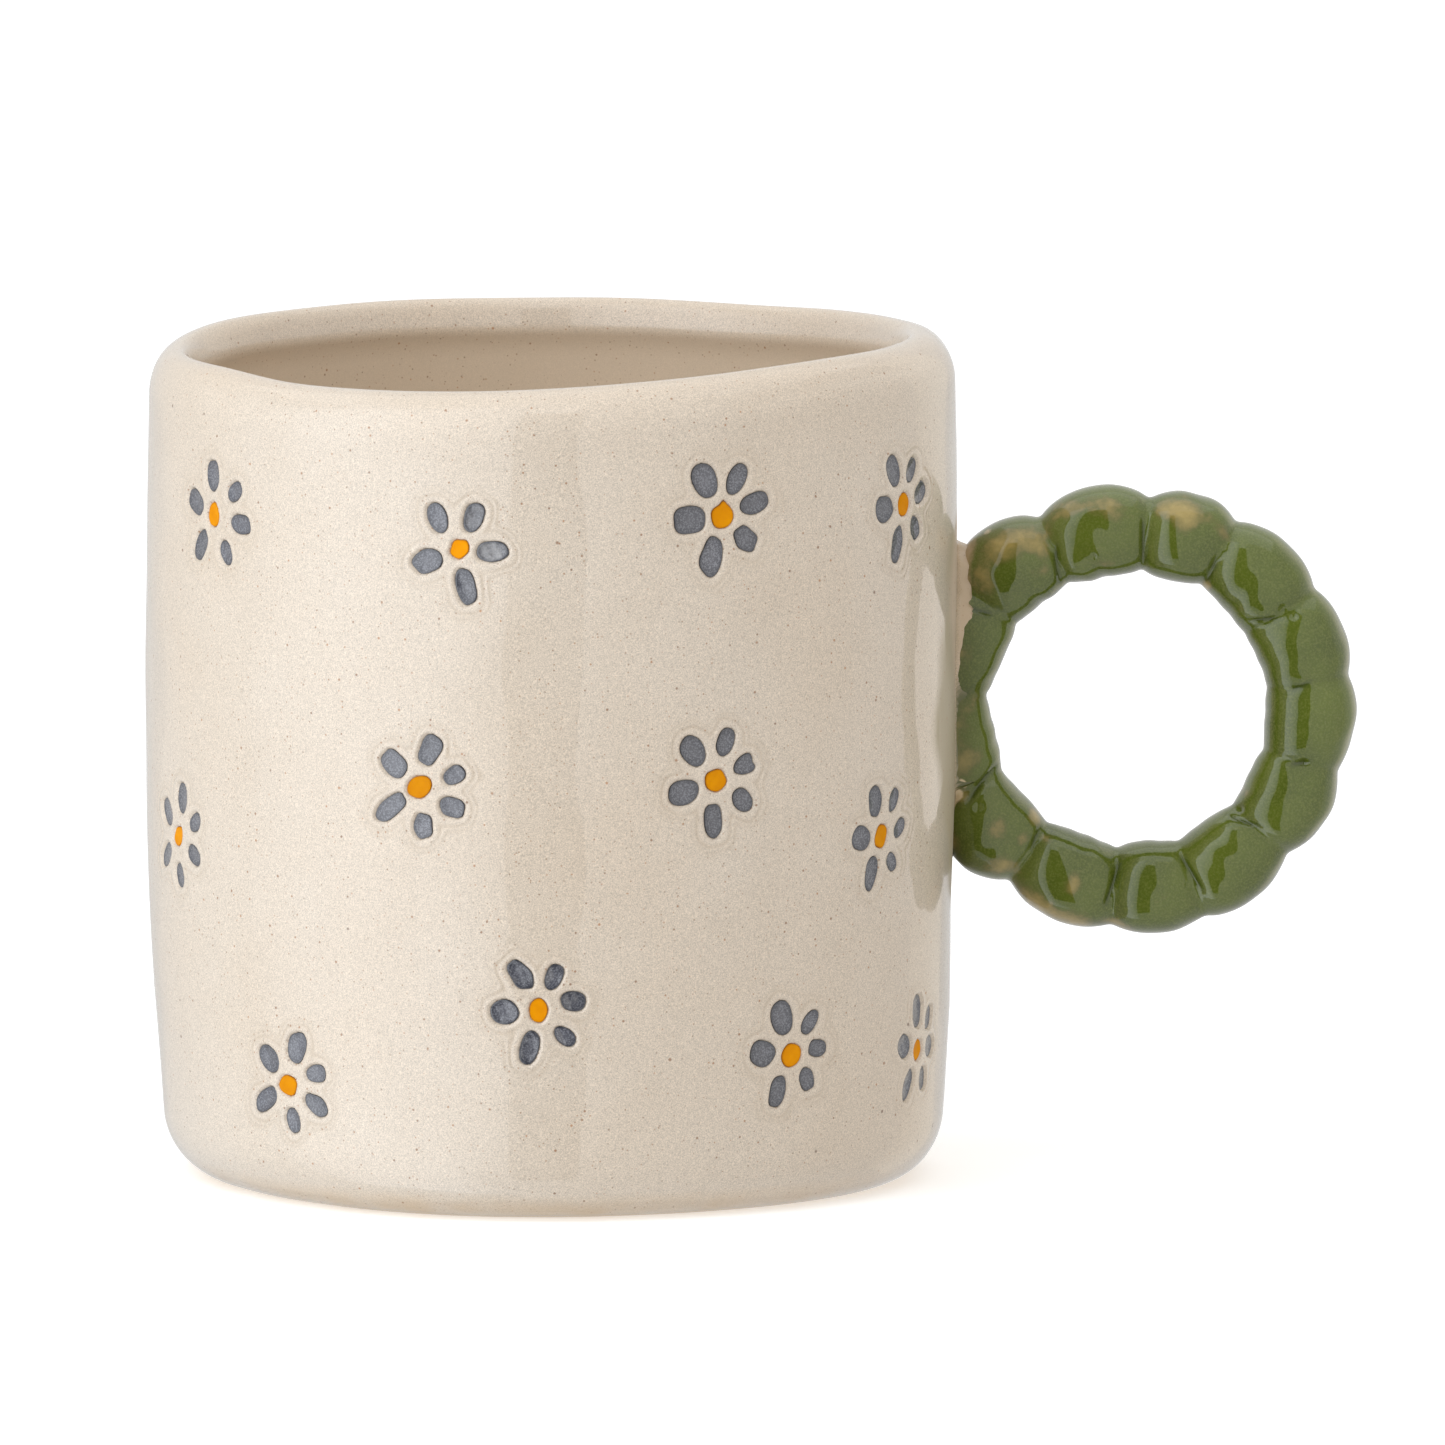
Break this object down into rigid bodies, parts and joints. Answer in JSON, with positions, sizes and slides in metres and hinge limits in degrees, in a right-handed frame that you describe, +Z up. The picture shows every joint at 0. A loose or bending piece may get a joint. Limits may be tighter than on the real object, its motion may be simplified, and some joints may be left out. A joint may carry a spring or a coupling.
{
  "type": "stoneware mug",
  "caption": "Straight-sided glazed stoneware mug with inlaid daisies, a soft hand-trimmed rim and a beaded ring handle.",
  "frame": {"origin": "middle of the flat underside, on the table plane, on the cup's own axis", "axes": "+Z up the cup's axis to the rim; +X from the axis through the ring handle; +Y away from the viewer when the handle is on the right"},
  "size_m": [0.1276, 0.0859, 0.0893],
  "materials": {
    "body_glaze": "clear gloss glaze over cream speckled stoneware",
    "handle_glaze": "pooled olive green gloss glaze, thin and tan on high spots",
    "slip_clay": "cream slip under clear gloss glaze",
    "petal_underglaze": "grey-blue underglaze in pressed pits, under clear gloss glaze",
    "centre_underglaze": "orange-yellow underglaze dot, under clear gloss glaze"
  },
  "bodies": {
    "root": {"cup_body": "body_glaze", "handle_ring": "handle_glaze", "handle_slip": "slip_clay", "upper_row_petals": "petal_underglaze", "middle_row_petals": "petal_underglaze", "lower_row_petals": "petal_underglaze", "upper_row_centres": "centre_underglaze", "middle_row_centres": "centre_underglaze", "lower_row_centres": "centre_underglaze"}
  },
  "joints": []
}
